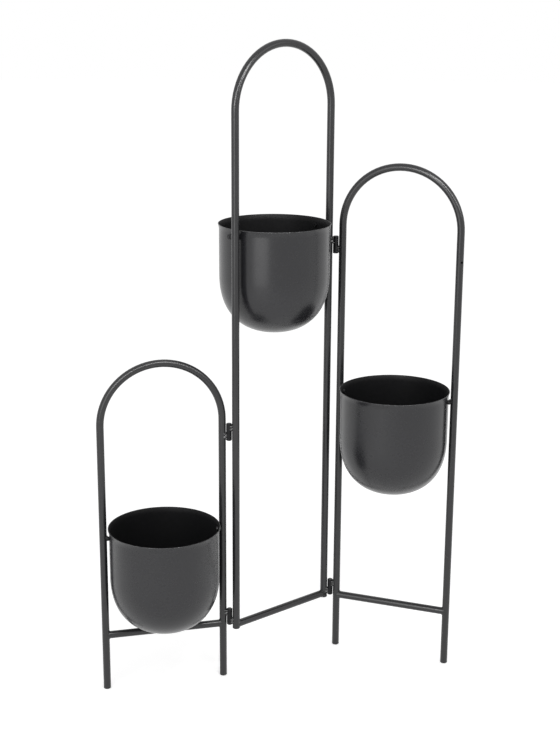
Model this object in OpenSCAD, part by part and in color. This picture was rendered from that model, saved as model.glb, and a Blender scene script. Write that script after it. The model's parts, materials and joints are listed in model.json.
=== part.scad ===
// Folding plant stand: three arched tube panels joined by barrel hinges, each carrying a swinging bowl.
// The floor is at z = 0, the centre panel lies along X, and the back of the stand faces +Y.

/* [Frame] */
// Outer diameter of every tube
tube_d = 12; // [10:0.5:16]
// Wall thickness of every tube
tube_wall = 1.2; // [0.8:0.1:1.8]
// Height of the cross rails' axes above the floor
rail_height = 94; // [70:1:160]
// Thickness of a foot plug's head
plug_head = 2.5; // [2:0.1:5]
// Length of a foot plug's stem inside the tube
plug_stem = 12; // [6:1:25]

/* [Left panel] */
// Overall height of the left panel
left_height = 550; // [480:1:640]
// Angle by which the left panel is folded to the back
left_fold = 26; // [0:1:60]
// Gap between the left rail and the bottom of the left bowl
left_bowl_gap = 2; // [1:0.5:60]
// Distance from the face of the left uprights forward to the pivots of the left bowl
left_standoff = 2; // [2:0.5:15]

/* [Centre panel] */
// Overall height of the centre panel
centre_height = 1032; // [950:1:1200]
// Distance from the axis of the centre rail down to the ends of the centre uprights
centre_tail = 7; // [7:0.5:30]
// Height of the centre bowl's rim
centre_rim_height = 748; // [600:1:850]
// Distance from the face of the centre uprights back to the pivots of the centre bowl
centre_standoff = 16; // [2:0.5:25]

/* [Right panel] */
// Overall height of the right panel
right_height = 842; // [780:1:940]
// Angle by which the right panel is folded to the front
right_fold = 61; // [0:1:80]
// Height of the right bowl's rim
right_rim_height = 476; // [360:1:620]
// Distance from the face of the right uprights forward to the pivots of the right bowl
right_standoff = 5; // [2:0.5:15]
// Diameter of the vent hole in the outer right upright
vent_d = 4; // [2:0.5:5]
// Distance from the spring of the right arch down to the vent hole
vent_drop = 47; // [20:1:120]

/* [Bowls] */
// Diameter of a bowl's rim
rim_d = 180; // [140:1:240]
// Diameter of a bowl's straight wall
bowl_d = 176; // [130:1:200]
// Depth of a bowl from rim to bottom
bowl_depth = 174; // [150:1:185]
// Height of the flared lip
lip_height = 10; // [5:0.5:25]
// Height of the rounded bottom
bottom_height = 96; // [60:1:120]
// Fullness of the rounded bottom, with 2 for an ellipse and more for a squarer one
bottom_fullness = 2.4; // [2:0.1:3]
// Wall thickness of a bowl
bowl_wall = 1; // [0.8:0.1:2]
// Clearance between a bowl's rim and the inner face of an upright
rim_gap = 1; // [1:0.5:6]

/* [Bowl pivots] */
// Distance from the rim down to the pivots
pivot_drop = 12; // [8:0.5:20]
// Diameter of a pivot screw's shank
screw_d = 3.5; // [3:0.5:5]
// Diameter of a pivot screw's head
screw_head_d = 7; // [6:0.5:9]
// Height of a pivot screw's head
screw_head = 2.2; // [1.5:0.1:3]
// Width across the flats of the socket in a pivot screw's head
socket_width = 2.5; // [1.5:0.5:3]
// Diameter of a pivot spacer
spacer_d = 7; // [6:0.5:9]
// Length of a pivot spacer
spacer_length = 1.7; // [1.5:0.1:8]
// Height of a lug, which is also the diameter of its round end
lug_height = 7; // [6:0.5:12]
// Thickness of a lug
lug_thickness = 2.5; // [1.5:0.1:4]

/* [Hinges] */
// Diameter of a hinge barrel
barrel_d = 9; // [8:0.5:12]
// Length of one knuckle
knuckle_length = 14; // [10:0.5:24]
// Diameter of a hinge pin
hinge_pin_d = 4.5; // [3:0.5:5.5]
// Angle of the hinge pins off the plane of the centre panel
hinge_angle = 53; // [0:1:75]
// Gap between a barrel and a tube, bridged by the weld
weld_gap = 0.7; // [0.4:0.1:2]
// Width of a hinge weld
weld_width = 4; // [2:0.5:5]
// Distance from the rails' axes up to the middle of the lower hinges
lower_hinge_rise = 13; // [6:0.5:60]
// Distance from the spring of the left arch down to the middle of the left upper hinge
left_hinge_drop = 21; // [16:1:120]
// Distance from the spring of the right arch down to the middle of the right upper hinge
right_hinge_drop = 33; // [16:1:120]

/* [Hidden] */
$fn = 64;

LEFT = "left";
CENTRE = "centre";
RIGHT = "right";

TUBE_COLOUR = "#3c3d3f";
BOWL_COLOUR = "#3a3a3d";
HINGE_COLOUR = "#464648";
PLUG_COLOUR = "#2b2b2d";
SCREW_COLOUR = "#6e6f72";
SPACER_COLOUR = "#232325";

// Clearances: pieces fixed to each other, a pin running in its bore, and pieces that pass each other
seat_gap = 0.03;
running_gap = 0.05;
passing_gap = 0.3;
overshoot = 1;

tube_r = tube_d / 2;
bore_r = tube_r - tube_wall;
rim_r = rim_d / 2;
bowl_r = bowl_d / 2;
lip_steps = 6;
bottom_steps = 20;
plug_chamfer = 1;
barrel_chamfer = 0.8;
socket_depth = screw_head / 2;
screw_tip = 0.3;
vent_turn = 41;
weld_margin = 1.5;
lug_bite = 1.5;
pin_recess = 0.5;
knuckle_cap = 3;
pin_reach = knuckle_length - knuckle_cap;

// Outer radius of a bowl at a depth below its rim, in the lip and the straight wall
function lip_radius(depth) = bowl_r + (rim_r - bowl_r) * pow(max(0, 1 - depth / lip_height), 2);

// Outer radii of a bowl at the upper and lower edge of a round piece that sits on its wall at a pivot
function radii_at(piece_d) = [for (end = [-1, 1]) lip_radius(pivot_drop + end * piece_d / 2)];

// Distances from a bowl's axis to the parts of a pivot, and to the uprights, which clear the bowl
head_face = min(radii_at(screw_head_d)) - bowl_wall - passing_gap;
spacer_face = max(radii_at(spacer_d)) + passing_gap;
lug_face = spacer_face + spacer_length + seat_gap;
arch_r = max(rim_r + rim_gap, bowl_r + rim_gap, lug_face - lug_bite) + tube_r;
panel_pitch = 2 * arch_r;

// Ends and arches of the panels
centre_base = rail_height - centre_tail;
left_rim_height = rail_height + tube_r + left_bowl_gap + bowl_depth;
function top_of(side) = side == LEFT ? left_height : side == RIGHT ? right_height : centre_height;
function base_of(side) = side == CENTRE ? centre_base : 0;
function spring_of(side) = top_of(side) - tube_r - arch_r;
function rim_of(side) = side == LEFT ? left_rim_height : side == RIGHT ? right_rim_height : centre_rim_height;

// Distance from a panel's plane to its bowl's axis, with the back positive
function bowl_offset(side) =
    side == LEFT ? -(tube_r + left_standoff)
    : side == RIGHT ? -(tube_r + right_standoff)
    : tube_r + centre_standoff;

// Plan of the stand, with the middle of the centre panel at [0, 0]
hinge_arm = tube_r + barrel_d / 2 + weld_gap;
arm_step = hinge_arm * [cos(hinge_angle), -sin(hinge_angle)];
left_pin = [-arch_r, 0] - arm_step;
right_pin = [arch_r, 0] + arm_step;
function turn_of(side) = side == LEFT ? -left_fold : side == RIGHT ? -right_fold : 0;
function along(side) = [cos(turn_of(side)), sin(turn_of(side))];
function across(side) = [-sin(turn_of(side)), cos(turn_of(side))];
function middle_of(side) =
    side == LEFT ? left_pin - arm_step - arch_r * along(LEFT)
    : side == RIGHT ? right_pin + arm_step + arch_r * along(RIGHT)
    : [0, 0];
function bowl_axis(side) = middle_of(side) + bowl_offset(side) * across(side);

// Round outlines that bound the plan: each is a centre and a radius
outlines = concat(
    [for (side = [LEFT, CENTRE, RIGHT]) [bowl_axis(side), rim_r]],
    [for (side = [LEFT, CENTRE, RIGHT], end = [-1, 1]) [middle_of(side) + end * arch_r * along(side), tube_r]]
);
function plan_centre(i) =
    (max([for (o = outlines) o[0][i] + o[1]]) + min([for (o = outlines) o[0][i] - o[1]])) / 2;
plan_origin = [plan_centre(0), plan_centre(1)];

// Moves a piece from a panel's own frame, with its middle on the floor at the origin, to its place
module on_panel(side) {
    spot = middle_of(side) - plan_origin;
    translate([spot[0], spot[1], 0]) rotate([0, 0, turn_of(side)]) children();
}

// Moves a piece from the axis of a hinge pin, at the height of the hinge's middle, to its place
module on_pin(pin, height) {
    spot = pin - plan_origin;
    translate([spot[0], spot[1], height]) children();
}

module tube_section() {
    difference() {
        circle(tube_r);
        circle(bore_r);
    }
}

// One tube bent to an inverted U, with its ends above the heads of its plugs
module arch_tube(side) {
    foot = base_of(side) + plug_head;
    for (end = [-1, 1])
        translate([end * arch_r, 0, foot]) linear_extrude(spring_of(side) - foot) tube_section();
    translate([0, 0, spring_of(side)]) rotate([90, 0, 0])
        rotate_extrude(angle = 180, $fn = 96) translate([arch_r, 0]) tube_section();
}

// Small hole through the outer wall of the outer right upright
module vent_hole() {
    translate([arch_r, 0, spring_of(RIGHT) - vent_drop]) rotate([0, 90, -vent_turn])
        cylinder(h = tube_d, d = vent_d);
}

// Tube between the uprights, with its ends cut to the round of the uprights
module cross_rail() {
    difference() {
        translate([-arch_r, 0, rail_height]) rotate([0, 90, 0]) linear_extrude(panel_pitch) tube_section();
        for (end = [-1, 1])
            translate([end * arch_r, 0, rail_height - tube_d])
                cylinder(h = 2 * tube_d, r = tube_r + seat_gap);
    }
}

// Plugs in the ends of the two uprights: a chamfered head and a stem
module end_plugs(side) {
    for (end = [-1, 1])
        translate([end * arch_r, 0, base_of(side)]) {
            cylinder(h = plug_chamfer, r1 = tube_r - plug_chamfer, r2 = tube_r);
            translate([0, 0, plug_chamfer]) cylinder(h = plug_head - plug_chamfer, r = tube_r);
            translate([0, 0, plug_head]) cylinder(h = plug_stem, r = bore_r - seat_gap);
        }
}

// Outline of a bowl from its rim to its axis, drawn inside the outer face by a distance
function bowl_outline(inset) = concat(
    [for (i = [0 : lip_steps]) let (depth = lip_height * i / lip_steps) [lip_radius(depth) - inset, -depth]],
    [for (i = [0 : bottom_steps]) let (a = 90 * i / bottom_steps, bend = 2 / bottom_fullness)
        [(bowl_r - inset) * pow(cos(a), bend),
         bottom_height - bowl_depth - (bottom_height - inset) * pow(sin(a), bend)]]
);
function reversed(points) = [for (i = [len(points) - 1 : -1 : 0]) points[i]];

// A bowl in its own frame, with the middle of its rim at the origin
module bowl_shell() {
    difference() {
        rotate_extrude($fn = 96) polygon(concat(bowl_outline(0), reversed(bowl_outline(bowl_wall))));
        translate([0, 0, -pivot_drop]) rotate([0, 90, 0])
            cylinder(h = panel_pitch, d = screw_d + 2 * running_gap, center = true);
    }
}

// Places a piece at both pivots of a bowl, with +X along the pivot line and away from the bowl
module at_pivots(side) {
    translate([0, bowl_offset(side), rim_of(side) - pivot_drop])
        for (turn = [0, 180]) rotate([0, 0, turn]) children();
}

// Flat lugs with a round end and a foot welded to the uprights, that hold the pivot screws
module bowl_lugs(side) {
    reach = abs(bowl_offset(side)) - tube_r / 2;
    toward = -sign(bowl_offset(side));
    foot = max(lug_thickness, arch_r - tube_r + lug_bite - lug_face);
    difference() {
        translate([0, bowl_offset(side), rim_of(side) - pivot_drop])
            for (end = [-1, 1]) {
                translate([end * (lug_face + lug_thickness / 2), 0, 0]) rotate([0, 90, 0])
                    cylinder(h = lug_thickness, d = lug_height, center = true);
                translate([end * (lug_face + lug_thickness / 2), toward * reach / 2, 0])
                    cube([lug_thickness, reach, lug_height], center = true);
                translate([end * (lug_face + foot / 2), toward * (reach - lug_thickness / 2), 0])
                    cube([foot, lug_thickness, lug_height], center = true);
            }
        translate([0, bowl_offset(side), rim_of(side) - pivot_drop]) rotate([0, 90, 0])
            cylinder(h = panel_pitch, r = screw_d / 2 + seat_gap, center = true);
        for (end = [-1, 1])
            translate([end * arch_r, 0, rim_of(side) - pivot_drop - lug_height])
                cylinder(h = 2 * lug_height, r = tube_r + seat_gap);
    }
}

// Sleeves that keep the bowl off the lugs
module pivot_spacers(side) {
    at_pivots(side) difference() {
        translate([spacer_face, 0, 0]) rotate([0, 90, 0])
            cylinder(h = spacer_length, d = spacer_d);
        translate([spacer_face - overshoot, 0, 0]) rotate([0, 90, 0])
            cylinder(h = spacer_length + 2 * overshoot, r = screw_d / 2 + seat_gap);
    }
}

// Screws put in from inside the bowl, with a socket in the head
module pivot_screws(side) {
    at_pivots(side) difference() {
        union() {
            translate([head_face - screw_head, 0, 0]) rotate([0, 90, 0])
                cylinder(h = screw_head, d = screw_head_d);
            translate([head_face, 0, 0]) rotate([0, 90, 0])
                cylinder(h = lug_face + lug_thickness + screw_tip - head_face, d = screw_d);
        }
        translate([head_face - screw_head - overshoot, 0, 0]) rotate([0, 90, 0])
            cylinder(h = socket_depth + overshoot, d = socket_width / cos(30), $fn = 6);
    }
}

module placed_bowl(side) {
    on_panel(side) translate([0, bowl_offset(side), rim_of(side)]) bowl_shell();
}

// Top knuckle of a hinge: a barrel closed at the top, with its weld towards an upright
module top_knuckle(weld_turn) {
    translate([0, 0, passing_gap / 2]) difference() {
        union() {
            cylinder(h = knuckle_length - barrel_chamfer, d = barrel_d);
            translate([0, 0, knuckle_length - barrel_chamfer])
                cylinder(h = barrel_chamfer, d1 = barrel_d, d2 = barrel_d - 2 * barrel_chamfer);
            hinge_weld(weld_turn);
        }
        translate([0, 0, -overshoot])
            cylinder(h = pin_reach + 2 * overshoot, r = hinge_pin_d / 2 + running_gap);
        welded_tube(weld_turn);
    }
}

// Bottom knuckle of a hinge: a barrel bored through, with its weld towards an upright
module bottom_knuckle(weld_turn) {
    translate([0, 0, -knuckle_length - passing_gap / 2]) difference() {
        union() {
            cylinder(h = barrel_chamfer, d1 = barrel_d - 2 * barrel_chamfer, d2 = barrel_d);
            translate([0, 0, barrel_chamfer]) cylinder(h = knuckle_length - barrel_chamfer, d = barrel_d);
            hinge_weld(weld_turn);
        }
        translate([0, 0, -overshoot])
            cylinder(h = knuckle_length + 2 * overshoot, r = hinge_pin_d / 2 + seat_gap);
        welded_tube(weld_turn);
    }
}

module hinge_weld(weld_turn) {
    rotate([0, 0, weld_turn]) translate([0, -weld_width / 2, weld_margin])
        cube([hinge_arm, weld_width, knuckle_length - 2 * weld_margin]);
}

module welded_tube(weld_turn) {
    rotate([0, 0, weld_turn]) translate([hinge_arm, 0, -overshoot])
        cylinder(h = knuckle_length + 2 * overshoot, r = tube_r + seat_gap);
}

// Pin held in the bottom knuckle, on which the top knuckle turns
module hinge_pin() {
    translate([0, 0, pin_recess - knuckle_length - passing_gap / 2])
        cylinder(h = knuckle_length - pin_recess + passing_gap + pin_reach, d = hinge_pin_d);
}

// Directions from a hinge pin to the two uprights that it joins
to_right_upright = -hinge_angle;
to_left_upright = 180 - hinge_angle;

// Heights of the middles of the hinges
lower_hinge = rail_height + lower_hinge_rise;
left_upper_hinge = spring_of(LEFT) - left_hinge_drop;
right_upper_hinge = spring_of(RIGHT) - right_hinge_drop;

module centre_arch_tube() { color(TUBE_COLOUR) on_panel(CENTRE) arch_tube(CENTRE); }
module centre_cross_rail() { color(TUBE_COLOUR) on_panel(CENTRE) cross_rail(); }
module centre_end_plugs() { color(PLUG_COLOUR) on_panel(CENTRE) end_plugs(CENTRE); }
module centre_bowl_lugs() { color(HINGE_COLOUR) on_panel(CENTRE) bowl_lugs(CENTRE); }
module centre_pivot_spacers() { color(SPACER_COLOUR) on_panel(CENTRE) pivot_spacers(CENTRE); }
module centre_pivot_screws() { color(SCREW_COLOUR) on_panel(CENTRE) pivot_screws(CENTRE); }
module centre_bowl() { color(BOWL_COLOUR) placed_bowl(CENTRE); }

module left_arch_tube() { color(TUBE_COLOUR) on_panel(LEFT) arch_tube(LEFT); }
module left_cross_rail() { color(TUBE_COLOUR) on_panel(LEFT) cross_rail(); }
module left_foot_plugs() { color(PLUG_COLOUR) on_panel(LEFT) end_plugs(LEFT); }
module left_bowl_lugs() { color(HINGE_COLOUR) on_panel(LEFT) bowl_lugs(LEFT); }
module left_pivot_spacers() { color(SPACER_COLOUR) on_panel(LEFT) pivot_spacers(LEFT); }
module left_pivot_screws() { color(SCREW_COLOUR) on_panel(LEFT) pivot_screws(LEFT); }
module left_bowl() { color(BOWL_COLOUR) placed_bowl(LEFT); }

module right_arch_tube() {
    color(TUBE_COLOUR) on_panel(RIGHT) difference() {
        arch_tube(RIGHT);
        vent_hole();
    }
}
module right_cross_rail() { color(TUBE_COLOUR) on_panel(RIGHT) cross_rail(); }
module right_foot_plugs() { color(PLUG_COLOUR) on_panel(RIGHT) end_plugs(RIGHT); }
module right_bowl_lugs() { color(HINGE_COLOUR) on_panel(RIGHT) bowl_lugs(RIGHT); }
module right_pivot_spacers() { color(SPACER_COLOUR) on_panel(RIGHT) pivot_spacers(RIGHT); }
module right_pivot_screws() { color(SCREW_COLOUR) on_panel(RIGHT) pivot_screws(RIGHT); }
module right_bowl() { color(BOWL_COLOUR) placed_bowl(RIGHT); }

// In the upper hinges the top knuckle belongs to the centre panel, which rests on the outer panels
module left_upper_hinge_top_knuckle() {
    color(HINGE_COLOUR) on_pin(left_pin, left_upper_hinge) top_knuckle(to_right_upright);
}
module left_upper_hinge_bottom_knuckle() {
    color(HINGE_COLOUR) on_pin(left_pin, left_upper_hinge) bottom_knuckle(to_left_upright);
}
module left_upper_hinge_pin() { color(SCREW_COLOUR) on_pin(left_pin, left_upper_hinge) hinge_pin(); }
module right_upper_hinge_top_knuckle() {
    color(HINGE_COLOUR) on_pin(right_pin, right_upper_hinge) top_knuckle(to_left_upright);
}
module right_upper_hinge_bottom_knuckle() {
    color(HINGE_COLOUR) on_pin(right_pin, right_upper_hinge) bottom_knuckle(to_right_upright);
}
module right_upper_hinge_pin() { color(SCREW_COLOUR) on_pin(right_pin, right_upper_hinge) hinge_pin(); }

// In the lower hinges the bottom knuckle belongs to the centre panel, so that it can't be lifted off
module left_lower_hinge_top_knuckle() {
    color(HINGE_COLOUR) on_pin(left_pin, lower_hinge) top_knuckle(to_left_upright);
}
module left_lower_hinge_bottom_knuckle() {
    color(HINGE_COLOUR) on_pin(left_pin, lower_hinge) bottom_knuckle(to_right_upright);
}
module left_lower_hinge_pin() { color(SCREW_COLOUR) on_pin(left_pin, lower_hinge) hinge_pin(); }
module right_lower_hinge_top_knuckle() {
    color(HINGE_COLOUR) on_pin(right_pin, lower_hinge) top_knuckle(to_right_upright);
}
module right_lower_hinge_bottom_knuckle() {
    color(HINGE_COLOUR) on_pin(right_pin, lower_hinge) bottom_knuckle(to_left_upright);
}
module right_lower_hinge_pin() { color(SCREW_COLOUR) on_pin(right_pin, lower_hinge) hinge_pin(); }

centre_arch_tube();
centre_cross_rail();
centre_end_plugs();
centre_bowl_lugs();
centre_pivot_spacers();
centre_pivot_screws();
centre_bowl();
left_arch_tube();
left_cross_rail();
left_foot_plugs();
left_bowl_lugs();
left_pivot_spacers();
left_pivot_screws();
left_bowl();
right_arch_tube();
right_cross_rail();
right_foot_plugs();
right_bowl_lugs();
right_pivot_spacers();
right_pivot_screws();
right_bowl();
left_upper_hinge_top_knuckle();
left_upper_hinge_bottom_knuckle();
left_upper_hinge_pin();
left_lower_hinge_top_knuckle();
left_lower_hinge_bottom_knuckle();
left_lower_hinge_pin();
right_upper_hinge_top_knuckle();
right_upper_hinge_bottom_knuckle();
right_upper_hinge_pin();
right_lower_hinge_top_knuckle();
right_lower_hinge_bottom_knuckle();
right_lower_hinge_pin();
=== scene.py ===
"""Looks of the folding plant stand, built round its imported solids.

The tubes, rails, plugs, lugs, spacers, screws, knuckles and pins stay as the solids give them and get their
finishes here. The bowls are replaced by finer spun shells, and the weld seams are added as beads.
"""

import json
import logging
import math
from dataclasses import dataclass
from enum import Enum

import bmesh
import bpy
from mathutils import Matrix, Quaternion, Vector, noise


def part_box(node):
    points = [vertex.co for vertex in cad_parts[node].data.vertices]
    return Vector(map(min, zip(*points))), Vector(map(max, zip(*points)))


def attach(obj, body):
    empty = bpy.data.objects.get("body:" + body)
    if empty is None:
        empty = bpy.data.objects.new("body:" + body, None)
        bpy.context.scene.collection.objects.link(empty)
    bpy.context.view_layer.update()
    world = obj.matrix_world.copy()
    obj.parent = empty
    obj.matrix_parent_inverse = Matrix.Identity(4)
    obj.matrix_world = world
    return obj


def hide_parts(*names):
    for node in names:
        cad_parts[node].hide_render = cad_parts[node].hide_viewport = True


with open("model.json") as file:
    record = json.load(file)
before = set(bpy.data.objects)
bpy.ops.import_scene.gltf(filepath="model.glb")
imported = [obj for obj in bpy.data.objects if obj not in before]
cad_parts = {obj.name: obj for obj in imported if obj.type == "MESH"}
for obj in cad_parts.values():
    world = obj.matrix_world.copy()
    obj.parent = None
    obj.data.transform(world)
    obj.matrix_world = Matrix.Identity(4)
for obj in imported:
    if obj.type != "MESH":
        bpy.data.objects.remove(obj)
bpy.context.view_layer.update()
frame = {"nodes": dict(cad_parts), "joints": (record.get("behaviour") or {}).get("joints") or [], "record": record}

MM = 0.001
TUBE_R = 6 * MM
HALF_PANEL = 97 * MM
COAT_BUMP = 0.4 * MM
FINE_BUMP = 0.2 * MM
# Blender seeds its noise from the clock, so without a fixed seed the weld beads would differ from run to run.
NOISE_SEED = 2
LOG = logging.getLogger("plant_stand")

Colour = tuple[float, float, float, float]
Places = tuple[tuple[float, float], ...]


class Side(Enum):
    """The three panels of the stand, with the names of their bodies."""

    LEFT = "left"
    CENTRE = "centre"
    RIGHT = "right"

    @property
    def panel(self) -> str:
        """Body of the panel."""
        return f"{self.value}_panel"

    @property
    def planter(self) -> str:
        """Body of the bowl that the panel carries."""
        return f"{self.value}_planter"

    def node(self, piece: str) -> str:
        """Name of one of the panel's solids."""
        return f"{self.value}_{piece}"


@dataclass(frozen=True)
class Signal:
    """A number that varies over a surface, on which Python's operators add Math nodes."""

    sheet: "Sheet"
    socket: bpy.types.NodeSocket

    def maths(self, operation: str, *values: "Signal | float") -> "Signal":
        """Adds one Math node.

        Args:
            operation: Name of the node's operation.
            values: Its inputs, in order.

        Returns:
            The node's result.
        """
        return self.sheet.signal("ShaderNodeMath", {"operation": operation}, dict(enumerate(values)))

    def __add__(self, other: "Signal | float") -> "Signal":
        """Sum."""
        return self.maths("ADD", self, other)

    def __radd__(self, other: float) -> "Signal":
        """Sum with a number on the left."""
        return self.maths("ADD", other, self)

    def __sub__(self, other: "Signal | float") -> "Signal":
        """Difference."""
        return self.maths("SUBTRACT", self, other)

    def __rsub__(self, other: float) -> "Signal":
        """Difference from a number on the left."""
        return self.maths("SUBTRACT", other, self)

    def __mul__(self, other: "Signal | float") -> "Signal":
        """Product."""
        return self.maths("MULTIPLY", self, other)

    def __rmul__(self, other: float) -> "Signal":
        """Product with a number on the left."""
        return self.maths("MULTIPLY", other, self)

    def __pow__(self, other: float) -> "Signal":
        """Power."""
        return self.maths("POWER", self, other)

    def __rpow__(self, other: float) -> "Signal":
        """Power of a number on the left."""
        return self.maths("POWER", other, self)

    def ramp(self, low: float, high: float) -> "Signal":
        """Rises from 0 at low to 1 at high, and stays within them.

        Args:
            low: Value that gives 0.
            high: Value that gives 1.

        Returns:
            The mapped value.
        """
        return self.sheet.signal("ShaderNodeMapRange", {"clamp": True},
                                 {"Value": self, "From Min": low, "From Max": high})


class Sheet:
    """The nodes of one material or of the world, with one method that adds any node."""

    def __init__(self, tree: bpy.types.NodeTree) -> None:
        """Empties a node tree.

        Args:
            tree: The tree to fill.
        """
        self.tree = tree
        tree.nodes.clear()

    def add(self, kind: str, settings: dict | None = None, inputs: dict | None = None) -> bpy.types.Node:
        """Adds a node, sets its settings first and then its sockets.

        Args:
            kind: Type name of the node.
            settings: Its properties by name.
            inputs: Values, signals or sockets by the name or the number of the input.

        Returns:
            The node.
        """
        node = self.tree.nodes.new(kind)
        for name, value in (settings or {}).items():
            setattr(node, name, value)
        for name, value in (inputs or {}).items():
            source = value.socket if isinstance(value, Signal) else value
            if isinstance(source, bpy.types.NodeSocket):
                self.tree.links.new(source, node.inputs[name])
            else:
                node.inputs[name].default_value = source
        return node

    def signal(self, kind: str, settings: dict | None = None, inputs: dict | None = None,
               output: int | str = 0) -> Signal:
        """Adds a node and gives one of its outputs as a signal.

        Args:
            kind: Type name of the node.
            settings: Its properties by name.
            inputs: Its inputs by name or number.
            output: Name or number of the output.

        Returns:
            The output.
        """
        return Signal(self, self.add(kind, settings, inputs).outputs[output])

    def noise(self, place: Signal, scale: float, detail: float = 2.0, roughness: float = 0.5) -> Signal:
        """Adds a noise pattern.

        Args:
            place: Coordinates.
            scale: Cells to a metre.
            detail: Octaves.
            roughness: Share that each octave adds.

        Returns:
            The pattern's value, about 0.5 in the middle.
        """
        return self.signal("ShaderNodeTexNoise", {},
                           {"Vector": place, "Scale": scale, "Detail": detail, "Roughness": roughness})

    def clouds(self, place: Signal, scale: float) -> Signal:
        """Adds broad soft clouds, from 0 to 1."""
        return self.noise(place, scale, 3).ramp(0.35, 0.65)

    def mottle(self, place: Signal, scale: float) -> Signal:
        """Adds a fine mottle, from 0 to 1."""
        return self.noise(place, scale, 4, 0.6).ramp(0.3, 0.7)

    def orange_peel(self, place: Signal, scale: float) -> Signal:
        """Adds the small waves of a sprayed powder coat."""
        return self.noise(place, scale, 2, 0.45)

    def mix(self, factor: Signal, first: Colour | Signal, second: Colour | Signal) -> Signal:
        """Mixes two colours.

        Args:
            factor: Share of the second.
            first: Colour at 0.
            second: Colour at 1.

        Returns:
            The mixed colour.
        """
        return self.signal("ShaderNodeMix", {"data_type": "RGBA"}, {0: factor, 6: first, 7: second}, output=2)

    def bump(self, strength: float, depth: float, height: Signal) -> Signal:
        """Adds a bump.

        Args:
            strength: How strongly it shows.
            depth: Height of a full step, in metres.
            height: The pattern that raises the surface.

        Returns:
            The bumped normal.
        """
        return self.signal("ShaderNodeBump", {}, {"Strength": strength, "Distance": depth, "Height": height})


def surface_sheet(name: str) -> tuple[bpy.types.Material, Sheet]:
    """Makes an empty material.

    Args:
        name: The material's name.

    Returns:
        The material and its sheet.
    """
    material = bpy.data.materials.new(name)
    material.use_nodes = True
    return material, Sheet(material.node_tree)


def lighter(colour: Colour, share: float) -> Colour:
    """Multiplies a colour's channels by a share, and keeps it opaque."""
    return tuple(c * share for c in colour[:3]) + (1.0,)


@dataclass(frozen=True)
class PowderCoat:
    """A satin powder coat: fine orange peel, faint clouds in colour and gloss, and rubbed spots."""

    name: str
    colour: Colour
    rubbed: Colour
    roughness: float = 0.4
    peel: float = 0.08
    peel_scale: float = 1500.0
    lumps: float = 0.0
    ior: float = 1.48
    cloud_scale: float = 16.0
    mottle_scale: float = 210.0
    mark_scale: float = 55.0
    mark_band: tuple[float, float] = (0.62, 0.75)
    zone_scale: float = 9.0
    zone_band: tuple[float, float] = (0.5, 0.62)
    lump_scale: float = 420.0
    light_share: float = 1.22

    def material(self) -> bpy.types.Material:
        """Builds the finish.

        Returns:
            The material.
        """
        material, sheet = surface_sheet(self.name)
        place = sheet.signal("ShaderNodeTexCoord", output="Object")
        clouds = sheet.clouds(place, self.cloud_scale)
        mottle = sheet.mottle(place, self.mottle_scale)
        peel = sheet.orange_peel(place, self.peel_scale)
        marks = sheet.noise(place, self.mark_scale, 5, 0.7).ramp(*self.mark_band)
        rubs = marks * sheet.noise(place, self.zone_scale, 2).ramp(*self.zone_band) * 0.5
        shade = sheet.mix(clouds * 0.5 + mottle * 0.35, self.colour, lighter(self.colour, self.light_share))
        colour = sheet.mix(rubs, shade, self.rubbed)
        roughness = self.roughness + (clouds - 0.5) * 0.05 + (mottle - 0.5) * 0.05 + rubs * 0.12
        height = peel + mottle * 0.35
        if self.lumps:
            height = height + sheet.noise(place, self.lump_scale, 4, 0.6) * self.lumps
        bump = sheet.bump(self.peel, COAT_BUMP, height)
        shader = sheet.add("ShaderNodeBsdfPrincipled", {},
                           {"Base Color": colour, "Roughness": roughness, "Normal": bump, "IOR": self.ior})
        sheet.add("ShaderNodeOutputMaterial", {}, {"Surface": shader.outputs[0]})
        return material


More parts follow.
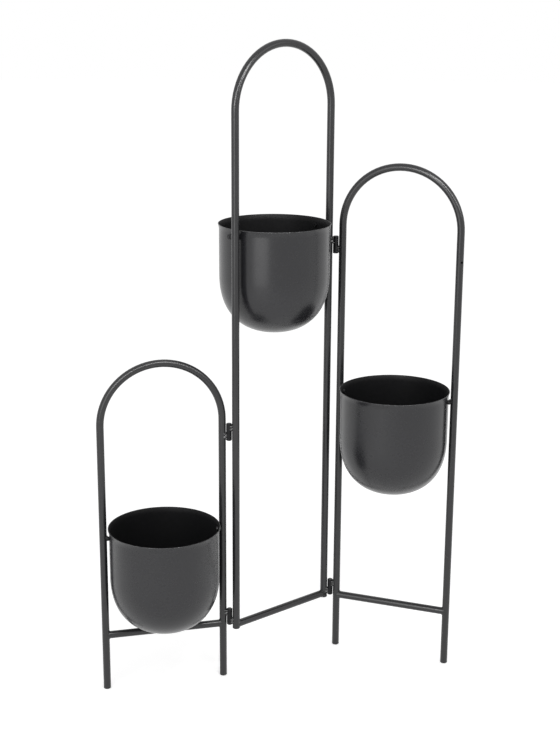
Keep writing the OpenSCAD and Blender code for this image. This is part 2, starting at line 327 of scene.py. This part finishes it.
@dataclass(frozen=True)
class RimCoat:
    """The powder coat of a spun bowl: satin with faint rings outside, dull inside with a darker colour that is
    painted shade, and rubbed at the lip.
    """

    name: str
    colour: Colour
    rubbed: Colour
    axis: tuple[float, float]
    rim_height: float
    depth: float
    roughness: float = 0.27
    ior: float = 1.48
    peel: float = 0.045
    # The inner face's colour is painted shade: far darker than the outer coat, standing in for the shade inside
    # the bowl.
    inner_painted_shade_colour: Colour = (0.006, 0.006, 0.0066, 1.0)
    inner_gloss: float = 0.16
    inner_roughness: float = 0.46
    cloud_scale: float = 13.0
    mottle_scale: float = 190.0
    peel_scale: float = 1400.0
    ring_scale: float = 420.0
    wear_scale: float = 140.0
    wear_band: tuple[float, float] = (0.42, 0.62)
    lip_band: tuple[float, float] = (-0.0011, -0.0002)
    light_share: float = 1.18
    inner_light_share: float = 1.5
    face_band: float = 0.006

    def material(self) -> bpy.types.Material:
        """Builds the finish round the bowl's own axis.

        Returns:
            The material.
        """
        material, sheet = surface_sheet(self.name)
        place = sheet.signal("ShaderNodeTexCoord", output="Object")
        local = sheet.signal("ShaderNodeMapping", {"vector_type": "POINT"},
                             {"Vector": place, "Location": (-self.axis[0], -self.axis[1], -self.rim_height)})
        parts = sheet.add("ShaderNodeSeparateXYZ", {}, {"Vector": local})
        x, y, z = (Signal(sheet, parts.outputs[i]) for i in range(3))
        radius = (x * x + y * y) ** 0.5
        clouds = sheet.clouds(place, self.cloud_scale)
        mottle = sheet.mottle(place, self.mottle_scale)
        peel = sheet.orange_peel(place, self.peel_scale)
        ring_place = sheet.signal("ShaderNodeCombineXYZ", {}, {"X": radius - z})
        rings = sheet.noise(ring_place, self.ring_scale, 3, 0.7)
        worn = sheet.noise(place, self.wear_scale, 4, 0.7).ramp(*self.wear_band)
        lip = z.ramp(*self.lip_band) * worn
        shade = sheet.mix(clouds * 0.5 + mottle * 0.3, self.colour, lighter(self.colour, self.light_share))
        colour = sheet.mix(lip * 0.6, shade, self.rubbed)
        roughness = self.roughness + (clouds - 0.5) * 0.05 + (mottle - 0.5) * 0.04 - lip * 0.08
        height = peel * 0.6 + mottle * 0.06 + rings * 0.4
        bump = sheet.bump(self.peel, COAT_BUMP, height)
        outer = sheet.add("ShaderNodeBsdfPrincipled", {},
                          {"Base Color": colour, "Roughness": roughness, "Normal": bump, "IOR": self.ior})
        # Inside the bowl the coat is painted darker: painted shade of the hollow, with a faint random mottle.
        inner_painted_shade_tone = sheet.mix(mottle * 0.5 + clouds * 0.3, self.inner_painted_shade_colour,
                                lighter(self.inner_painted_shade_colour, self.inner_light_share))
        inner = sheet.add("ShaderNodeBsdfPrincipled", {}, {
            "Base Color": inner_painted_shade_tone, "Roughness": self.inner_roughness + mottle * 0.08, "Normal": bump,
            "Specular IOR Level": self.inner_gloss})
        both = sheet.add("ShaderNodeMixShader", {},
                         {0: self.inside(sheet), 1: outer.outputs[0], 2: inner.outputs[0]})
        sheet.add("ShaderNodeOutputMaterial", {}, {"Surface": both.outputs[0]})
        return material

    def inside(self, sheet: Sheet) -> Signal:
        """Tells the inner face of the wall from the outer one by which way it looks from the bowl's middle.

        Args:
            sheet: The nodes to add to.

        Returns:
            1 on the inner face, which gets the painted shade, and 0 on the outer one.
        """
        coordinates = sheet.add("ShaderNodeTexCoord")
        from_middle = sheet.signal("ShaderNodeMapping", {"vector_type": "POINT"}, {
            "Vector": coordinates.outputs["Object"],
            "Location": (-self.axis[0], -self.axis[1], self.depth / 2 - self.rim_height)})
        outward = sheet.signal("ShaderNodeVectorMath", {"operation": "DOT_PRODUCT"},
                               {0: coordinates.outputs["Normal"], 1: from_middle}, output="Value")
        return outward.ramp(self.face_band, -self.face_band)


@dataclass(frozen=True)
class BlackenedSteel:
    """Blackened steel of screws and pins, with turning marks and a few bright rubs."""

    name: str
    colour: Colour = (0.05, 0.05, 0.052, 1.0)
    bright: Colour = (0.16, 0.16, 0.165, 1.0)
    roughness: float = 0.38
    mark_scale: float = 700.0
    mark_stretch: float = 9.0
    mark_strength: float = 0.15
    rub_scale: float = 380.0
    rub_band: tuple[float, float] = (0.55, 0.7)

    def material(self) -> bpy.types.Material:
        """Builds the finish.

        Returns:
            The material.
        """
        material, sheet = surface_sheet(self.name)
        place = sheet.signal("ShaderNodeTexCoord", output="Object")
        stretch = (1.0, 1.0, self.mark_stretch)
        drawn = sheet.signal("ShaderNodeMapping", {}, {"Vector": place, "Scale": stretch})
        marks = sheet.noise(drawn, self.mark_scale, 3)
        rubs = sheet.noise(place, self.rub_scale, 4, 0.6).ramp(*self.rub_band)
        shader = sheet.add("ShaderNodeBsdfPrincipled", {}, {
            "Base Color": sheet.mix(rubs * 0.6, self.colour, self.bright),
            "Metallic": 1.0,
            "Roughness": self.roughness + marks * 0.12 - rubs * 0.08,
            "Normal": sheet.bump(self.mark_strength, FINE_BUMP, marks)})
        sheet.add("ShaderNodeOutputMaterial", {}, {"Surface": shader.outputs[0]})
        return material


@dataclass(frozen=True)
class MouldedPlastic:
    """Matt moulded plastic of plugs and spacers, with a spark-eroded grain and floor scuffs."""

    name: str
    colour: Colour
    scuffed: Colour
    scuff_height: float = 0.0
    gloss: float = 0.5
    roughness: float = 0.5
    scuff_band: float = 0.0012
    grain_scale: float = 2600.0
    grain_strength: float = 0.2
    patch_scale: float = 260.0
    patch_band: tuple[float, float] = (0.4, 0.7)

    def material(self) -> bpy.types.Material:
        """Builds the finish.

        Returns:
            The material.
        """
        material, sheet = surface_sheet(self.name)
        place = sheet.signal("ShaderNodeTexCoord", output="Object")
        grain = sheet.noise(place, self.grain_scale, 3, 0.6)
        patches = sheet.noise(place, self.patch_scale, 4, 0.6).ramp(*self.patch_band)
        height = Signal(sheet, sheet.add("ShaderNodeSeparateXYZ", {}, {"Vector": place}).outputs[2])
        low = height.ramp(self.scuff_height + self.scuff_band, self.scuff_height)
        shader = sheet.add("ShaderNodeBsdfPrincipled", {}, {
            "Base Color": sheet.mix(patches * (0.15 + low * 0.6), self.colour, self.scuffed),
            "Roughness": self.roughness + grain * 0.15 + patches * 0.06,
            "Specular IOR Level": self.gloss,
            "Normal": sheet.bump(self.grain_strength, FINE_BUMP, grain)})
        sheet.add("ShaderNodeOutputMaterial", {}, {"Surface": shader.outputs[0]})
        return material


FRAME_COAT = PowderCoat("frame_coat_satin", (0.0175, 0.0175, 0.0188, 1.0), (0.06, 0.06, 0.063, 1.0),
                        roughness=0.23)
HINGE_COAT = PowderCoat("hinge_coat_satin", (0.007, 0.007, 0.008, 1.0), (0.05, 0.05, 0.053, 1.0),
                        roughness=0.4, peel=0.2, peel_scale=1100.0, ior=1.3)
WELD_COAT = PowderCoat("weld_coat_rough", (0.009, 0.009, 0.01, 1.0), (0.1, 0.1, 0.103, 1.0),
                       roughness=0.17, peel=0.55, peel_scale=900.0, lumps=1.5, ior=2.0)
STEEL = BlackenedSteel("blackened_steel")
PLUG_PLASTIC = MouldedPlastic("plug_plastic_matt", (0.02, 0.02, 0.021, 1.0), (0.09, 0.088, 0.085, 1.0))
SPACER_NYLON = MouldedPlastic("spacer_nylon_matt", (0.005, 0.005, 0.0055, 1.0), (0.012, 0.012, 0.0125, 1.0),
                              scuff_height=-1.0, gloss=0.15)


def piece_of(name: str, bm: bmesh.types.BMesh, material: bpy.types.Material,
             sharp_angle: float) -> bpy.types.Object:
    """Makes an object of a finished bmesh, shaded smooth but for its sharp edges.

    Args:
        name: Name of the piece.
        bm: Its mesh, which is freed.
        material: Its finish.
        sharp_angle: Edges that bend more than this, in degrees, stay sharp.

    Returns:
        The object.
    """
    mesh = bpy.data.meshes.new(name)
    bmesh.ops.recalc_face_normals(bm, faces=bm.faces)
    bm.to_mesh(mesh)
    bm.free()
    mesh.materials.append(material)
    mesh.shade_smooth()
    mesh.set_sharp_from_angle(angle=math.radians(sharp_angle))
    obj = bpy.data.objects.new(name, mesh)
    bpy.context.scene.collection.objects.link(obj)
    return obj


def settle_modifiers(obj: bpy.types.Object) -> None:
    """Turns an object's modifiers into its mesh.

    Args:
        obj: The object.
    """
    graph = bpy.context.evaluated_depsgraph_get()
    settled = bpy.data.meshes.new_from_object(obj.evaluated_get(graph))
    obj.modifiers.clear()
    obj.data = settled


@dataclass(frozen=True)
class Panel:
    """One arched panel's own frame: its middle on the floor, the way along it and the way across it."""

    side: Side
    middle: Vector
    along: Vector
    across: Vector
    rail_height: float

    @classmethod
    def of(cls, side: Side) -> "Panel":
        """Reads a panel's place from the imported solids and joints.

        Args:
            side: The panel.

        Returns:
            Its frame.
        """
        low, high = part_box(side.node("cross_rail"))
        joint = next(j for j in frame["joints"] if j["name"] == side.node("bowl_swing"))
        along = Vector(joint["axis"]).normalized()
        along = along if along.x > 0 else -along
        centre = (low + high) / 2
        return cls(side, Vector((centre.x, centre.y, 0)), along, Vector((-along.y, along.x, 0)), centre.z)

    def point(self, u: float, v: float, z: float) -> Vector:
        """Turns a place in the panel's frame into one in the row frame.

        Args:
            u: Distance along the panel from its middle.
            v: Distance across it, to the back.
            z: Height above the floor.

        Returns:
            The point.
        """
        return self.middle + self.along * u + self.across * v + Vector((0, 0, z))

    def upright(self, end: int) -> Vector:
        """Foot of one upright's axis, at end -1 or 1."""
        return self.point(end * HALF_PANEL, 0, 0)


@dataclass(frozen=True)
class SpunBowl:
    """One bowl: spun shell with a flared lip, straight wall and rounded bottom, bored for its two pivots."""

    side: Side
    rim_centre: Vector
    pivot_line: Vector
    rim_r: float = 90 * MM
    wall_r: float = 88 * MM
    depth: float = 174 * MM
    lip: float = 10 * MM
    bottom: float = 96 * MM
    fullness: float = 2.4
    thickness: float = 1 * MM
    pivot_drop: float = 12 * MM
    bore_r: float = 1.8 * MM
    rod_length: float = 2.4 * rim_r
    rod_sides: int = 32
    steps: int = 180
    lip_points: int = 10
    wall_points: int = 6
    bottom_points: int = 44
    rim_round: float = 0.42 * MM
    rim_round_points: int = 4
    rim_round_angle: float = 50.0
    sharp_angle: float = 40.0
    merge_reach: float = 1e-5
    colour: Colour = (0.0145, 0.0145, 0.0165, 1.0)
    rubbed: Colour = (0.16, 0.16, 0.165, 1.0)

    @classmethod
    def of(cls, side: Side) -> "SpunBowl":
        """Finds a bowl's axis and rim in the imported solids.

        Args:
            side: The panel that carries it.

        Returns:
            The bowl.
        """
        low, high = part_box(side.node("bowl"))
        rim_centre = Vector(((low.x + high.x) / 2, (low.y + high.y) / 2, high.z))
        joint = next(j for j in frame["joints"] if j["name"] == side.node("bowl_swing"))
        return cls(side, rim_centre, Vector(joint["axis"]).normalized())

    def outline(self) -> list[tuple[float, float]]:
        """Draws the outer outline from the rim down to the axis.

        Returns:
            Its points, each a radius and a height over the rim, which is negative.
        """
        edge_rise = self.thickness * math.sin(math.atan(2 * (self.rim_r - self.wall_r) / self.lip))
        points = []
        for i in range(self.lip_points + 1):
            drop = edge_rise + (self.lip - edge_rise) * i / self.lip_points
            points.append((self.wall_r + (self.rim_r - self.wall_r) * (1 - drop / self.lip) ** 2, -drop))
        straight_end = self.bottom - self.depth
        for i in range(1, self.wall_points):
            points.append((self.wall_r, -self.lip + (straight_end + self.lip) * i / self.wall_points))
        for i in range(self.bottom_points + 1):
            turn = math.radians(90 * i / self.bottom_points)
            across, down = (max(0.0, f(turn)) ** (2 / self.fullness) for f in (math.cos, math.sin))
            points.append((self.wall_r * across, straight_end - self.bottom * down))
        return points

    def shell(self) -> bmesh.types.BMesh:
        """Spins the outline once round the bowl's axis.

        Returns:
            The outer shell.
        """
        bm = bmesh.new()
        verts = [bm.verts.new(self.rim_centre + Vector((max(r, 0.0), 0, h))) for r, h in self.outline()]
        edges = [bm.edges.new(pair) for pair in zip(verts, verts[1:])]
        bmesh.ops.spin(bm, geom=verts + edges, cent=self.rim_centre, axis=(0, 0, 1), angle=2 * math.pi,
                       steps=self.steps, use_merge=True)
        bmesh.ops.remove_doubles(bm, verts=bm.verts, dist=self.merge_reach)
        return bm

    def cutter(self) -> bpy.types.Object:
        """Makes the rod that bores both walls on the pivot line.

        Returns:
            The rod's object.
        """
        bm = bmesh.new()
        turn = Vector((0, 0, 1)).rotation_difference(self.pivot_line).to_matrix().to_4x4()
        place = Matrix.Translation(self.rim_centre - Vector((0, 0, self.pivot_drop))) @ turn
        bmesh.ops.create_cone(bm, cap_ends=True, segments=self.rod_sides, radius1=self.bore_r,
                              radius2=self.bore_r, depth=self.rod_length, matrix=place)
        mesh = bpy.data.meshes.new("bore_rod")
        bm.to_mesh(mesh)
        bm.free()
        rod = bpy.data.objects.new("bore_rod", mesh)
        bpy.context.scene.collection.objects.link(rod)
        return rod

    @staticmethod
    def face_outward(bowl: bpy.types.Object) -> None:
        """Turns the shell's faces outward, which they are once its lowest face looks down.

        Args:
            bowl: The shell.
        """
        lowest = min(bowl.data.polygons, key=lambda face: face.center.z)
        if lowest.normal.z > 0:
            bowl.data.flip_normals()

    def build(self) -> bpy.types.Object:
        """Builds the bowl, gives it its wall, rounds its rim and bores it.

        Returns:
            The finished bowl, riding on its own body in place of its solid.
        """
        coat = RimCoat(f"{self.side.value}_bowl_coat_satin", self.colour, self.rubbed,
                       (self.rim_centre.x, self.rim_centre.y), self.rim_centre.z, self.depth)
        bowl = piece_of(f"{self.side.value}_spun_bowl", self.shell(), coat.material(), self.sharp_angle)
        self.face_outward(bowl)
        wall = bowl.modifiers.new("wall", "SOLIDIFY")
        wall.thickness, wall.offset, wall.use_even_offset = self.thickness, -1, True
        round_rim = bowl.modifiers.new("round_rim", "BEVEL")
        round_rim.width, round_rim.segments = self.rim_round, self.rim_round_points
        round_rim.limit_method, round_rim.angle_limit = "ANGLE", math.radians(self.rim_round_angle)
        settle_modifiers(bowl)
        rod = self.cutter()
        bore = bowl.modifiers.new("bore", "BOOLEAN")
        bore.operation, bore.solver, bore.object = "DIFFERENCE", "EXACT", rod
        settle_modifiers(bowl)
        bpy.data.objects.remove(rod)
        bowl.data.shade_smooth()
        bowl.data.set_sharp_from_angle(angle=math.radians(self.sharp_angle))
        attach(bowl, self.side.planter)
        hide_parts(self.side.node("bowl"))
        return bowl


@dataclass(frozen=True)
class Bead:
    """A weld bead: round seams along paths, with the ripples and lumps that welding leaves."""

    name: str
    paths: list[list[Vector]]
    radius: float
    slim: float = 1.0
    closed: bool = False
    ripple: float = 0.12
    lump: float = 0.1
    pitch: float = 1.3 * MM
    skin_scale: float = 1300.0
    lump_scale: float = 900.0
    tip_share: float = 0.35
    tip_rise: float = 2.2
    round_steps: int = 3
    merge_reach: float = 1e-6
    sharp_angle: float = 70.0

    def build(self, body: str, material: bpy.types.Material) -> bpy.types.Object:
        """Builds the bead as a mesh that rides on a body.

        Args:
            body: The body that carries it.
            material: Its finish.

        Returns:
            The bead.
        """
        curve = bpy.data.curves.new(self.name, "CURVE")
        curve.dimensions = "3D"
        curve.bevel_depth = self.radius
        curve.bevel_resolution = self.round_steps
        curve.use_fill_caps = not self.closed
        for number, path in enumerate(self.paths):
            self.lay(curve, path, self.slim if number else 1.0)
        holder = bpy.data.objects.new(self.name + "_path", curve)
        bpy.context.scene.collection.objects.link(holder)
        graph = bpy.context.evaluated_depsgraph_get()
        bm = bmesh.new()
        bm.from_mesh(holder.evaluated_get(graph).to_mesh())
        bpy.data.objects.remove(holder)
        bmesh.ops.remove_doubles(bm, verts=bm.verts, dist=self.merge_reach)
        for vert in bm.verts:
            vert.co += noise.noise_vector(vert.co * self.skin_scale) * self.radius * self.lump
        bead = piece_of(self.name, bm, material, self.sharp_angle)
        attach(bead, body)
        return bead

    def lay(self, curve: bpy.types.Curve, path: list[Vector], share: float) -> None:
        """Lays one seam of the bead.

        Args:
            curve: The curve that holds the seams.
            path: Points of the seam's middle line.
            share: Its thickness as a share of the bead's.
        """
        spline = curve.splines.new("POLY")
        spline.points.add(len(path) - 1)
        spline.use_cyclic_u = self.closed
        walked = 0.0
        last = len(path) - 1
        for i, (point, place) in enumerate(zip(spline.points, path)):
            walked += (place - path[i - 1]).length if i else 0.0
            point.co = (*place, 1.0)
            swell = 1 + self.ripple * math.cos(2 * math.pi * walked / self.pitch)
            tip = 1.0 if self.closed else min(1.0, self.tip_share + self.tip_rise * min(i, last - i) / last)
            point.radius = share * swell * tip * (1 + self.lump * noise.noise(place * self.lump_scale))


def straight(start: Vector, end: Vector, count: int) -> list[Vector]:
    """Points on a straight line.

    Args:
        start: First point.
        end: Last point.
        count: Number of points.

    Returns:
        The points.
    """
    return [start.lerp(end, i / (count - 1)) for i in range(count)]


@dataclass(frozen=True)
class PanelWelds:
    """Weld seams of one panel: round both ends of its rail, and beside its two bowl lugs."""

    panel: Panel
    material: bpy.types.Material
    lug_face: float = 90.08 * MM
    lug_thickness: float = 2.5 * MM
    lug_height: float = 7 * MM
    lug_margin: float = 0.3 * MM
    lug_seam_r: float = 0.8 * MM
    lug_seam_lump: float = 0.2
    lug_seam_points: int = 24
    inner_seam: tuple[float, float] = (0.25 * MM, 2.8 * MM)
    outer_seam: tuple[float, float] = (0.35 * MM, 5.15 * MM)
    rail_seam_r: float = 0.75 * MM
    rail_seam_ripple: float = 0.08
    rail_seam_lump: float = 0.12
    rail_seam_points: int = 72
    saddle_reach: float = 1.02
    saddle_lift: float = 0.25 * MM
    saddle_width: float = 1.04
    saddle_pinch: float = 0.2

    def rail_seam(self, end: int) -> bpy.types.Object:
        """Builds the seam on the saddle where the rail meets one upright.

        Args:
            end: -1 or 1, the upright.

        Returns:
            The seam.
        """
        path = []
        for i in range(self.rail_seam_points):
            turn = 2 * math.pi * i / self.rail_seam_points
            y, z = math.cos(turn), math.sin(turn)
            reach = math.sqrt(max(0.0, 1 - y * y)) * TUBE_R
            out = self.saddle_width - self.saddle_pinch * y * y
            u = HALF_PANEL - reach * self.saddle_reach - self.saddle_lift
            height = self.panel.rail_height + TUBE_R * z * out
            path.append(self.panel.point(end * u, TUBE_R * y * out, height))
        name = f"{self.panel.side.value}_rail_seam_{'near' if end < 0 else 'far'}"
        seam = Bead(name, [path], self.rail_seam_r, closed=True, ripple=self.rail_seam_ripple,
                    lump=self.rail_seam_lump)
        return seam.build(self.panel.side.panel, self.material)

    def lug_seams(self, end: int) -> list[bpy.types.Object]:
        """Builds the two seams that hold one lug to its upright.

        Args:
            end: -1 or 1, the upright.

        Returns:
            The seams.
        """
        side = self.panel.side
        low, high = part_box(side.node("bowl_lugs"))
        height = (low.z + high.z) / 2
        bowl_low, bowl_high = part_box(side.node("bowl"))
        offset = ((bowl_low + bowl_high) / 2 - self.panel.middle).dot(self.panel.across)
        toward = math.copysign(1.0, offset)
        half = self.lug_height / 2 - self.lug_margin
        seams = []
        for word, face, (lift, v) in (("inner", self.lug_face, self.inner_seam),
                                      ("outer", self.lug_face + self.lug_thickness, self.outer_seam)):
            u = face + lift
            start = self.panel.point(end * u, toward * v, height - half)
            stop = self.panel.point(end * u, toward * v, height + half)
            name = f"{side.value}_lug_seam_{word}_{'near' if end < 0 else 'far'}"
            path = straight(start, stop, self.lug_seam_points)
            seam = Bead(name, [path], self.lug_seam_r, lump=self.lug_seam_lump)
            seams.append(seam.build(side.panel, self.material))
        return seams

    def build(self) -> list[bpy.types.Object]:
        """Builds all of the panel's seams.

        Returns:
            The seams.
        """
        seams = [self.rail_seam(end) for end in (-1, 1)]
        for end in (-1, 1):
            seams += self.lug_seams(end)
        return seams


@dataclass(frozen=True)
class Knuckle:
    """One hinge knuckle: its solid, the pin's axis and the upright that it is welded to."""

    node: str
    panel: Panel
    end: int
    pin: Vector


@dataclass(frozen=True)
class HingeWelds:
    """Weld beads in the valleys between hinge knuckles and uprights, crossed by strands as tacks are."""

    knuckles: list[Knuckle]
    material: bpy.types.Material
    bead_r: float = 1.7 * MM
    valley: float = 5.1 * MM
    spread: float = 2.15 * MM
    half_length: float = 3.4 * MM
    slant: float = 0.9 * MM
    strand_share: float = 0.68
    strand_turns: Places = ((2.2 * MM, 3.75 * MM), (5.2 * MM, 0.8 * MM), (8.4 * MM, 5.0 * MM))
    strand_rises: Places = ((-3.6 * MM, -1.1 * MM), (0.9 * MM, -1.5 * MM), (2.6 * MM, 4.2 * MM))
    strand_points: int = 20
    bead_points: int = 48
    ripple: float = 0.1
    lump: float = 0.24
    pitch: float = 2.3 * MM

    def strands(self, origin: Vector, toward: Vector, aside: Vector) -> list[list[Vector]]:
        """Draws the strands that cross one valley, from the barrel over to the upright.

        Args:
            origin: Point of the pin's axis at the middle of the knuckle.
            toward: Direction to the upright.
            aside: Direction to the side that the valley opens to.

        Returns:
            The strands' middle lines.
        """
        turns = [origin + toward * u + aside * v for u, v in self.strand_turns]
        lines = []
        for low, high in self.strand_rises:
            line = []
            for i in range(self.strand_points):
                t = i / (self.strand_points - 1)
                place = turns[0] * (1 - t) ** 2 + turns[1] * 2 * t * (1 - t) + turns[2] * t ** 2
                line.append(place + Vector((0, 0, low + (high - low) * t)))
            lines.append(line)
        return lines

    def build(self) -> list[bpy.types.Object]:
        """Builds two beads to each knuckle.

        Returns:
            The beads.
        """
        beads = []
        for knuckle in self.knuckles:
            low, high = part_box(knuckle.node)
            toward = knuckle.panel.upright(knuckle.end) - knuckle.pin
            toward.z = 0
            toward.normalize()
            aside = Vector((-toward.y, toward.x, 0))
            middle = (low.z + high.z) / 2
            for word, sign in (("back", 1), ("front", -1)):
                origin = Vector((knuckle.pin.x, knuckle.pin.y, middle))
                foot = origin + toward * self.valley + aside * sign * self.spread
                rise = Vector((0, 0, self.half_length)) - toward * self.slant
                seam = straight(foot - rise, foot + rise, self.bead_points)
                paths = [seam] + self.strands(origin, toward, aside * sign)
                bead = Bead(f"{knuckle.node}_bead_{word}", paths, self.bead_r, slim=self.strand_share,
                            ripple=self.ripple, lump=self.lump, pitch=self.pitch)
                beads.append(bead.build(knuckle.panel.side.panel, self.material))
        return beads


def hinge_knuckles(panels: dict[Side, Panel]) -> list[Knuckle]:
    """Lists the knuckles with what each is welded to.

    Args:
        panels: The panels' frames.

    Returns:
        The knuckles.
    """
    pins = {j["name"]: Vector(j["pos_m"]) for j in frame["joints"] if j["name"].endswith("_fold")}
    owner = {node: body for body, nodes in frame["record"]["behaviour"]["bodies"].items() for node in nodes}
    knuckles = []
    for node in sorted(owner):
        if not node.endswith("_knuckle"):
            continue
        outer = Side.LEFT if node.startswith("left") else Side.RIGHT
        pin = pins[f"{outer.value}_fold"].copy()
        pin.z = 0
        on_centre = owner[node] == Side.CENTRE.panel
        panel = panels[Side.CENTRE if on_centre else outer]
        end = -1 if on_centre == (outer is Side.LEFT) else 1
        knuckles.append(Knuckle(node, panel, end, pin))
    return knuckles


class SolidFinishes:
    """The finishes of the solids that stay in view."""

    def __init__(self, coat: bpy.types.Material, hinge: bpy.types.Material) -> None:
        """Makes the small parts' finishes.

        Args:
            coat: Finish of tubes and rails.
            hinge: Finish of knuckles and lugs.
        """
        steel, plug, nylon = STEEL.material(), PLUG_PLASTIC.material(), SPACER_NYLON.material()
        self.by_ending = {"_arch_tube": coat, "_cross_rail": coat, "_bowl_lugs": hinge, "_knuckle": hinge,
                          "_pin": steel, "_pivot_screws": steel, "_plugs": plug, "_pivot_spacers": nylon}

    def dress(self) -> int:
        """Gives each solid its finish.

        Returns:
            How many solids were dressed.
        """
        dressed = 0
        for name, obj in frame["nodes"].items():
            for ending, material in self.by_ending.items():
                if name.endswith(ending):
                    for place in obj.material_slots:
                        place.material = material
                    dressed += 1
        return dressed


@dataclass(frozen=True)
class Viewpoint:
    """The camera of the photograph."""

    place: tuple[float, float, float] = (-1.41116, -1.64588, 1.12417)
    yaw: float = 40.561
    pitch: float = 15.6204
    roll: float = -0.3672
    focal: float = 1420.02
    long_side: float = 745.0
    sensor: float = 36.0

    def build(self) -> bpy.types.Object:
        """Sets up the camera.

        Returns:
            The camera.
        """
        yaw, pitch, roll = (math.radians(a) for a in (self.yaw, self.pitch, self.roll))
        forward = Vector((math.sin(yaw) * math.cos(pitch), math.cos(yaw) * math.cos(pitch), -math.sin(pitch)))
        level = Vector((math.cos(yaw), -math.sin(yaw), 0))
        down = forward.cross(level)
        right = level * math.cos(roll) + down * math.sin(roll)
        down = down * math.cos(roll) - level * math.sin(roll)
        data = bpy.data.cameras.new("camera")
        data.sensor_width = self.sensor
        data.lens = self.focal / self.long_side * self.sensor
        camera = bpy.data.objects.new("camera", data)
        turn = Matrix((right, -down, -forward)).transposed().to_4x4()
        camera.matrix_world = Matrix.Translation(self.place) @ turn
        bpy.context.scene.collection.objects.link(camera)
        bpy.context.scene.camera = camera
        return camera


@dataclass(frozen=True)
class Softbox:
    """A soft lamp that faces a point, turned about its line of sight, and lighting gloss alone where said."""

    name: str
    place: tuple[float, float, float]
    target: tuple[float, float, float]
    width: float
    height: float
    watts: float
    roll: float = 0.0
    glints_only: bool = False

    def build(self) -> bpy.types.Object:
        """Hangs the lamp.

        Returns:
            The lamp.
        """
        data = bpy.data.lights.new(self.name, "AREA")
        data.shape, data.size, data.size_y, data.energy = "RECTANGLE", self.width, self.height, self.watts
        lamp = bpy.data.objects.new(self.name, data)
        lamp.visible_diffuse = not self.glints_only
        lamp.location = self.place
        lamp.rotation_mode = "QUATERNION"
        facing = (Vector(self.target) - Vector(self.place)).to_track_quat("-Z", "Y")
        lamp.rotation_quaternion = facing @ Quaternion((0, 0, 1), math.radians(self.roll))
        bpy.context.scene.collection.objects.link(lamp)
        return lamp


@dataclass(frozen=True)
class Studio:
    """The pale floor, the white surroundings and the soft lamps."""

    floor_radius: float = 14.0
    floor_sides: int = 96
    floor_sharp_angle: float = 40.0
    floor_glow: float = 0.5
    floor_colour: Colour = (0.82, 0.82, 0.82, 1.0)
    room_light: float = 0.66
    lamps: tuple[Softbox, ...] = (
        Softbox("key_softbox", (-1.77, -0.7, 0.95), (0, 0, 0.62), 1.05, 1.5, 10.5),
        Softbox("fill_softbox", (1.4, -2.6, 1.9), (0, 0, 0.5), 1.4, 1.4, 7),
        Softbox("top_softbox", (-0.3, -1.1, 1.85), (-0.1, 0, 0.6), 0.42, 0.42, 5.5),
        Softbox("strip_softbox", (-1.03, -0.9, 1.4), (-0.15, 0.05, 0.6), 1.5, 0.2, 13.5,
                roll=40, glints_only=True),
        Softbox("front_softbox", (0.0, -1.3, 1.47), (-0.1, 0.05, 0.6), 1.0, 0.16, 8,
                roll=-57, glints_only=True),
    )

    @staticmethod
    def shown(sheet: Sheet) -> Signal:
        """Gives 1 to the camera and to mirrored and refracted rays, and 0 to the rays that light the object.

        Args:
            sheet: The nodes to add to.

        Returns:
            The switch.
        """
        path = sheet.add("ShaderNodeLightPath")
        camera, mirrored, refracted = (Signal(sheet, path.outputs[f"Is {kind} Ray"])
                                       for kind in ("Camera", "Glossy", "Transmission"))
        return camera.maths("MAXIMUM", camera.maths("MAXIMUM", camera, mirrored), refracted)

    def floor(self) -> bpy.types.Object:
        """Lays the floor, white to the camera but for the object's shadow.

        Returns:
            The floor.
        """
        material, sheet = surface_sheet("studio_floor")
        seen = self.shown(sheet)
        diffuse = sheet.add("ShaderNodeBsdfDiffuse", {}, {"Color": self.floor_colour})
        glow = sheet.add("ShaderNodeEmission", {},
                         {"Color": (1, 1, 1, 1), "Strength": seen * self.floor_glow})
        both = sheet.add("ShaderNodeAddShader", {}, {0: diffuse.outputs[0], 1: glow.outputs[0]})
        sheet.add("ShaderNodeOutputMaterial", {}, {"Surface": both.outputs[0]})
        bm = bmesh.new()
        bmesh.ops.create_circle(bm, cap_ends=True, radius=self.floor_radius, segments=self.floor_sides)
        floor = piece_of("studio_floor", bm, material, self.floor_sharp_angle)
        return floor

    def surroundings(self) -> None:
        """Makes the room white to the camera and in reflections, and plain in the light that it gives."""
        world = bpy.data.worlds.new("studio_room")
        world.use_nodes = True
        sheet = Sheet(world.node_tree)
        strength = self.shown(sheet) * (1.0 - self.room_light) + self.room_light
        room = sheet.add("ShaderNodeBackground", {}, {"Color": (1, 1, 1, 1), "Strength": strength})
        sheet.add("ShaderNodeOutputWorld", {}, {"Surface": room.outputs[0]})
        bpy.context.scene.world = world

    def build(self) -> None:
        """Sets up floor, room, lamps and the plain view transform."""
        self.floor()
        self.surroundings()
        for lamp in self.lamps:
            lamp.build()
        bpy.context.scene.view_settings.view_transform = "Standard"


def main() -> None:
    """Builds the camera, the studio and every piece in turn."""
    logging.basicConfig(level=logging.INFO, format="%(name)s: %(message)s")
    noise.seed_set(NOISE_SEED)
    Viewpoint().build()
    Studio().build()
    coat, hinge, weld = FRAME_COAT.material(), HINGE_COAT.material(), WELD_COAT.material()
    LOG.info("%d solids dressed", SolidFinishes(coat, hinge).dress())
    panels = {side: Panel.of(side) for side in Side}
    for side in Side:
        bowl = SpunBowl.of(side).build()
        LOG.info("%s: %d faces", bowl.name, len(bowl.data.polygons))
        for seam in PanelWelds(panels[side], coat).build():
            LOG.info("%s: %d faces", seam.name, len(seam.data.polygons))
    for bead in HingeWelds(hinge_knuckles(panels), weld).build():
        LOG.info("%s: %d faces", bead.name, len(bead.data.polygons))


if __name__ == "__main__":
    main()
